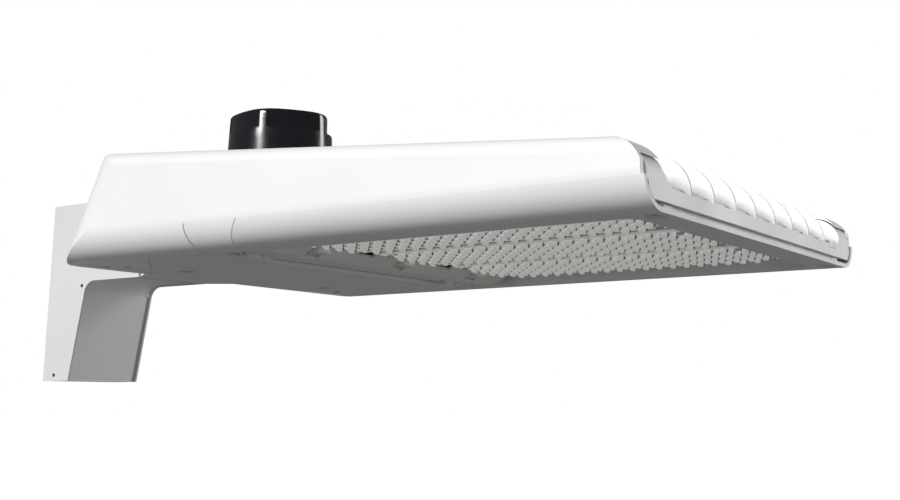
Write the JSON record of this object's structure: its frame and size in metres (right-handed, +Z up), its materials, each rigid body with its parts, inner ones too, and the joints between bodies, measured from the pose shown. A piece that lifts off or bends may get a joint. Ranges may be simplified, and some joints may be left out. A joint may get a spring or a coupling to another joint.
{
  "type": "area light",
  "caption": "Flat shoebox area light on a wall bracket, with lens rows and a hinged driver door underneath, cooling fins and a twist-lock light sensor on top.",
  "frame": {"origin": "middle of the four wall bolt holes, on the back face of the wall plate", "axes": "+X out from the wall along the head, +Y across the head, +Z up"},
  "size_m": [0.659, 0.38, 0.2075],
  "materials": {
    "white_paint": "satin white powder coat",
    "door_paint": "satin white powder coat",
    "zinc": "zinc plated",
    "plate": "mill finish",
    "seal": "matt",
    "lens": "clear",
    "board": "white solder mask",
    "plug": "moulded",
    "gear": "moulded",
    "dark": "moulded",
    "sensor": "gloss",
    "window": "clear"
  },
  "bodies": {
    "fixture": {"wall_plate": "white_paint", "bracket_shell": "white_paint", "bracket_cover": "door_paint", "cover_screws": "zinc", "arm_plate": "white_paint", "arm_bolts": "zinc", "neck_gasket": "seal", "wire_bushing": "seal", "housing": "white_paint", "hinge_bridge": "door_paint", "bridge_screws": "zinc", "hinge_pins": "zinc", "corner_screws": "zinc", "heat_sink": "white_paint", "sink_screws": "zinc", "front_bezel": "white_paint", "bezel_screws": "zinc", "optical_frame": "door_paint", "optical_gasket": "seal", "frame_screws": "zinc", "led_board_near": "board", "led_board_middle": "board", "led_board_far": "board", "lens_plate_near": "lens", "lens_plate_middle": "lens", "lens_plate_far": "lens", "lens_screws": "zinc", "board_plugs": "plug", "wire_cover": "door_paint", "gear_tray": "plate", "tray_screws": "zinc", "driver": "gear", "surge_protector": "dark", "terminal_block": "plug", "receptacle_gasket": "seal"},
    "door": {"driver_door": "door_paint", "door_gasket": "seal"},
    "latch_near": {"door_latch_near": "zinc"},
    "latch_far": {"door_latch_far": "zinc"},
    "receptacle": {"receptacle": "dark", "receptacle_nut": "zinc"},
    "photocell": {"sensor_base": "dark", "sensor_cap": "sensor", "sensor_window": "window"}
  },
  "joints": [
    {"name": "door_hinge", "type": "hinge", "parent": "fixture", "child": "door", "pos_m": [0.3268, 0, 0.0055], "axis": [0, -1, 0], "range_deg": [0, 90]},
    {"name": "latch_near_turn", "type": "hinge", "parent": "door", "child": "latch_near", "pos_m": [0.22, -0.085, 0.0025], "axis": [0, 0, 1], "range_deg": [0, 90]},
    {"name": "latch_far_turn", "type": "hinge", "parent": "door", "child": "latch_far", "pos_m": [0.22, 0.085, 0.0025], "axis": [0, 0, -1], "range_deg": [0, 90]},
    {"name": "receptacle_turn", "type": "hinge", "parent": "fixture", "child": "receptacle", "pos_m": [0.267, -0.034, 0.08], "axis": [0, 0, 1], "range_deg": [-170, 170]},
    {"name": "photocell_twist", "type": "hinge", "parent": "receptacle", "child": "photocell", "pos_m": [0.267, -0.034, 0.09], "axis": [0, 0, 1], "range_deg": [0, 35]}
  ]
}
